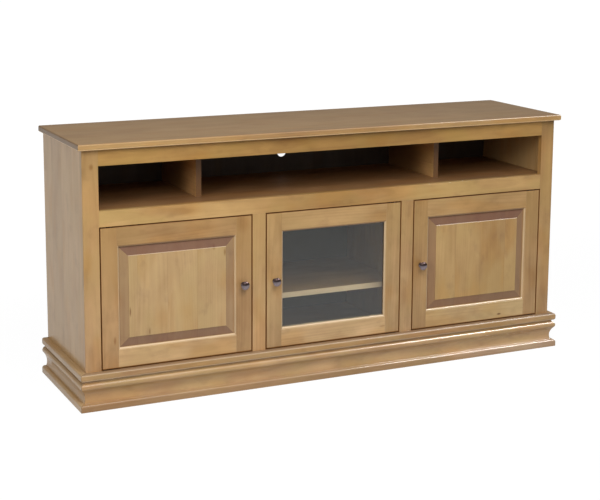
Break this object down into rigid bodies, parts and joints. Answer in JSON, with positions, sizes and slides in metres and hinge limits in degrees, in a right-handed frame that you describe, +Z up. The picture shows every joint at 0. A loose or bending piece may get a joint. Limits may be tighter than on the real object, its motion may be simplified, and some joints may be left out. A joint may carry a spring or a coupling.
{
  "type": "tv stand",
  "caption": "Long stained-hardwood media cabinet: open bays above raised-panel doors and a glass door, on a moulded base.",
  "frame": {"origin": "on the floor, in the middle of the overall width and depth", "axes": "+X to the right seen from the front, +Y to the back, +Z up; the doors face -Y"},
  "size_m": [1.844, 0.479, 0.878],
  "materials": {
    "frame_wood": "stained, satin lacquer",
    "door_wood": "stained, satin lacquer",
    "panel_wood": "stained, satin lacquer",
    "side_wood": "stained, satin lacquer",
    "top_wood": "stained, satin lacquer",
    "inner_wood": "sealed, matt",
    "back_wood": "sealed, matt",
    "door_glass": "clear, polished",
    "knob_metal": "dark, satin",
    "hinge_steel": "brushed",
    "catch_plastic": "matt"
  },
  "bodies": {
    "case": {"top_slab": "top_wood", "left_side_panel": "side_wood", "right_side_panel": "side_wood", "left_partition": "inner_wood", "right_partition": "inner_wood", "cupboard_floor": "inner_wood", "deck": "inner_wood", "back_panel": "back_wood", "left_divider": "frame_wood", "right_divider": "frame_wood", "front_stretcher": "inner_wood", "rear_stretcher": "inner_wood", "top_screws": "hinge_steel", "back_rail": "inner_wood", "floor_supports": "inner_wood", "left_stile": "frame_wood", "right_stile": "frame_wood", "left_mullion": "frame_wood", "right_mullion": "frame_wood", "top_rail": "frame_wood", "mid_rail": "frame_wood", "bottom_rail": "frame_wood", "cap_front": "frame_wood", "cap_left": "side_wood", "cap_right": "side_wood", "base_front": "frame_wood", "base_left": "side_wood", "base_right": "side_wood", "shelf_pins": "hinge_steel", "hinge_plates": "hinge_steel", "magnetic_catches": "catch_plastic"},
    "left_door": {"left_door_hinge_stile": "door_wood", "left_door_knob_stile": "door_wood", "left_door_top_rail": "door_wood", "left_door_bottom_rail": "door_wood", "left_door_panel": "panel_wood", "left_door_knob": "knob_metal", "left_door_leaves": "hinge_steel", "left_door_strike": "hinge_steel"},
    "centre_door": {"centre_door_hinge_stile": "door_wood", "centre_door_knob_stile": "door_wood", "centre_door_top_rail": "door_wood", "centre_door_bottom_rail": "door_wood", "centre_door_glass": "door_glass", "centre_door_glass_stops": "door_wood", "centre_door_knob": "knob_metal", "centre_door_leaves": "hinge_steel", "centre_door_strike": "hinge_steel"},
    "right_door": {"right_door_hinge_stile": "door_wood", "right_door_knob_stile": "door_wood", "right_door_top_rail": "door_wood", "right_door_bottom_rail": "door_wood", "right_door_panel": "panel_wood", "right_door_knob": "knob_metal", "right_door_leaves": "hinge_steel", "right_door_strike": "hinge_steel"},
    "left_shelf": {"left_shelf": "inner_wood"},
    "centre_shelf": {"centre_shelf": "inner_wood"},
    "right_shelf": {"right_shelf": "inner_wood"}
  },
  "joints": [
    {"name": "left_door_swing", "type": "hinge", "parent": "case", "child": "left_door", "pos_m": [-0.8285, -0.2045, 0.36475], "axis": [0, 0, -1], "range_deg": [0, 110]},
    {"name": "centre_door_swing", "type": "hinge", "parent": "case", "child": "centre_door", "pos_m": [0.2455, -0.2045, 0.36475], "axis": [0, 0, 1], "range_deg": [0, 110]},
    {"name": "right_door_swing", "type": "hinge", "parent": "case", "child": "right_door", "pos_m": [0.8285, -0.2045, 0.36475], "axis": [0, 0, 1], "range_deg": [0, 110]},
    {"name": "left_shelf_lift", "type": "slide", "parent": "case", "child": "left_shelf", "axis": [0, 0, 1], "range_m": [0, 0.025]},
    {"name": "centre_shelf_lift", "type": "slide", "parent": "case", "child": "centre_shelf", "axis": [0, 0, 1], "range_m": [0, 0.025]},
    {"name": "right_shelf_lift", "type": "slide", "parent": "case", "child": "right_shelf", "axis": [0, 0, 1], "range_m": [0, 0.025]}
  ]
}
